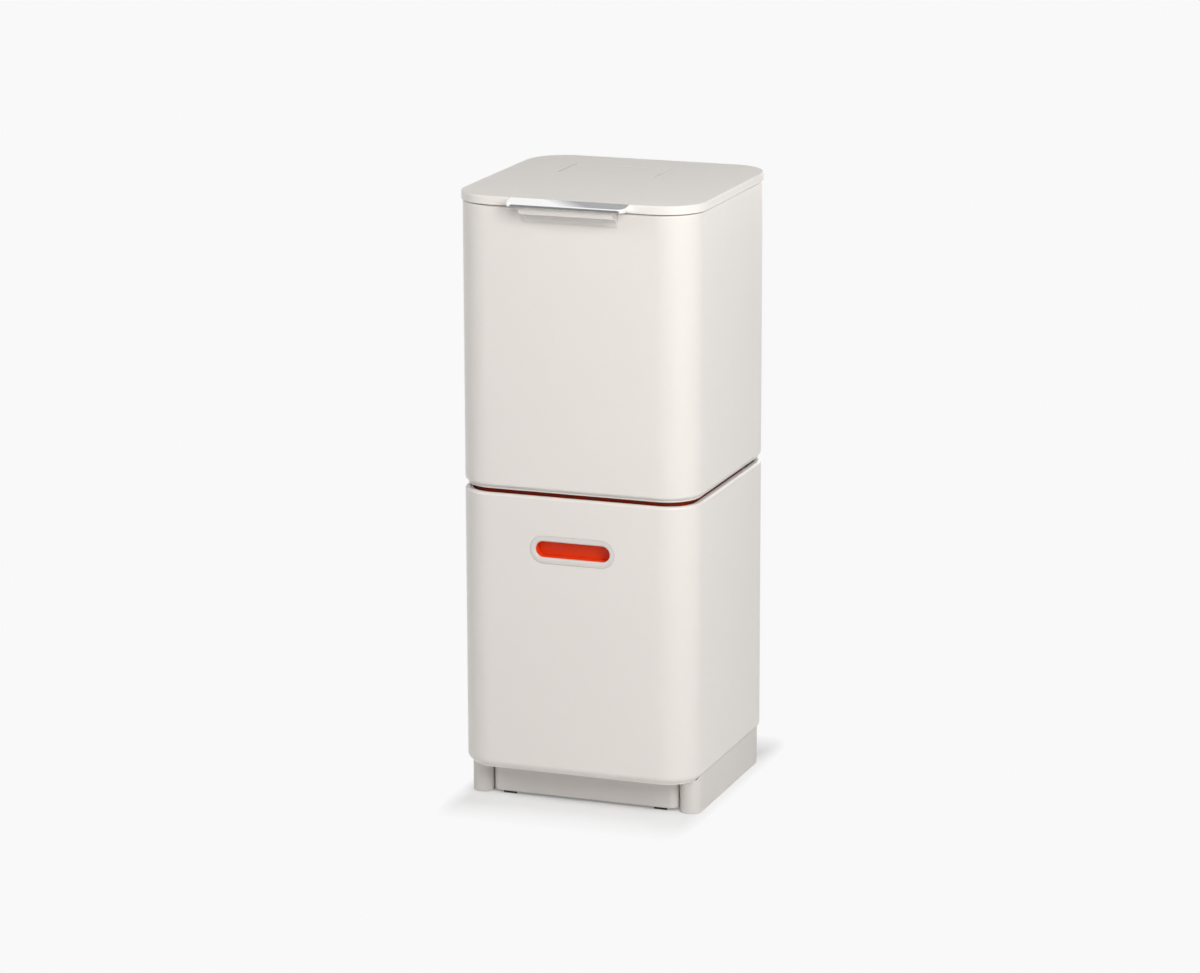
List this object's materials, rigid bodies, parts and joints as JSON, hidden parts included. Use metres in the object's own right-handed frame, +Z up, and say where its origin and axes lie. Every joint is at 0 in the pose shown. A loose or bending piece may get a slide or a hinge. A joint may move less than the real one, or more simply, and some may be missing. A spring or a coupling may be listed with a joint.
{
  "type": "recycling bin",
  "caption": "Tall square bin with rounded corners: a rear-hinged lid with a vent and a steel-capped handle over a lined bucket, above a pull-out drawer with a divided recycling bucket.",
  "frame": {"origin": "centre of the bounding box on the floor, level with the undersides of the pads", "axes": "+Z up, -Y towards the front with the drawer, the handle and the finger pull, +X to the right seen from the front"},
  "size_m": [0.3056, 0.3256, 0.7477],
  "materials": {
    "body_paint": "smooth satin warm off-white powder coat",
    "trim_plastic": "fine matt warm grey moulding",
    "red_plastic": "satin orange-red moulding",
    "grey_plastic": "satin stone grey moulding",
    "steel": "brushed along its length",
    "zinc_steel": "dull bright zinc plating",
    "fastener_steel": "plain zinc plated",
    "soft_rubber": "matt dark grey",
    "tyre_rubber": "matt black",
    "hub_plastic": "fine matt dark grey",
    "carbon_pad": "porous black carbon fleece"
  },
  "bodies": {
    "chassis": {"base_frame": "trim_plastic", "foot_pads": "soft_rubber", "spine_frame": "zinc_steel", "spine_screws": "fastener_steel", "lower_rear_cover": "trim_plastic", "upper_rear_cover": "trim_plastic", "cover_screws": "fastener_steel", "upper_deck": "trim_plastic", "deck_screws": "fastener_steel", "upper_shell": "body_paint", "upper_bottom_trim": "trim_plastic", "top_frame": "trim_plastic", "frame_screws": "fastener_steel", "hinge_pins": "fastener_steel", "general_bucket": "grey_plastic", "liner_ring": "steel", "left_slide_channel": "zinc_steel", "right_slide_channel": "zinc_steel", "slide_screws": "fastener_steel"},
    "lid": {"lid_cover": "body_paint", "lid_liner": "trim_plastic", "lid_seal": "soft_rubber", "vent_cover": "trim_plastic", "filter_holder": "trim_plastic", "carbon_filter": "carbon_pad", "lid_screws": "fastener_steel", "handle_cap": "steel", "handle_grip": "trim_plastic", "handle_screws": "fastener_steel"},
    "filter_flap": {"filter_door": "trim_plastic"},
    "drawer": {"drawer_shell": "body_paint", "drawer_bottom_trim": "trim_plastic", "drawer_top_trim": "trim_plastic", "drawer_tray": "trim_plastic", "drawer_back": "trim_plastic", "drawer_buffers": "soft_rubber", "finger_pull_bezel": "trim_plastic", "drawer_bucket": "red_plastic", "bucket_divider": "red_plastic", "left_slide_runner": "zinc_steel", "right_slide_runner": "zinc_steel", "runner_screws": "fastener_steel", "wheel_axles": "fastener_steel"},
    "left_carriage": {"left_slide_carriage": "zinc_steel"},
    "right_carriage": {"right_slide_carriage": "zinc_steel"},
    "left_wheel": {"left_wheel_hub": "hub_plastic", "left_wheel_tyre": "tyre_rubber"},
    "right_wheel": {"right_wheel_hub": "hub_plastic", "right_wheel_tyre": "tyre_rubber"}
  },
  "joints": [
    {"name": "lid_hinge", "type": "hinge", "parent": "chassis", "child": "lid", "pos_m": [0, 0.156, 0.728], "axis": [-1, 0, 0], "range_deg": [0, 95]},
    {"name": "filter_door_hinge", "type": "hinge", "parent": "lid", "child": "filter_flap", "pos_m": [-0.022, 0.1005, 0.733], "axis": [1, 0, 0], "range_deg": [0, 75]},
    {"name": "drawer_slide", "type": "slide", "parent": "chassis", "child": "drawer", "axis": [0, -1, 0], "range_m": [0, 0.265]},
    {"name": "left_carriage_slide", "type": "slide", "parent": "chassis", "child": "left_carriage", "axis": [0, -1, 0], "range_m": [0, 0.1325]},
    {"name": "right_carriage_slide", "type": "slide", "parent": "chassis", "child": "right_carriage", "axis": [0, -1, 0], "range_m": [0, 0.1325]},
    {"name": "left_wheel_spin", "type": "hinge", "parent": "drawer", "child": "left_wheel", "pos_m": [-0.09845, -0.087, 0.0112], "axis": [1, 0, 0], "continuous": true},
    {"name": "right_wheel_spin", "type": "hinge", "parent": "drawer", "child": "right_wheel", "pos_m": [0.09845, -0.087, 0.0112], "axis": [1, 0, 0], "continuous": true}
  ],
  "couplings": [
    {"joint": "left_carriage_slide", "follows": "drawer_slide", "ratio": 0.5},
    {"joint": "right_carriage_slide", "follows": "drawer_slide", "ratio": 0.5},
    {"joint": "left_wheel_spin", "follows": "drawer_slide", "rad_per_m": 90.909},
    {"joint": "right_wheel_spin", "follows": "drawer_slide", "rad_per_m": 90.909}
  ]
}
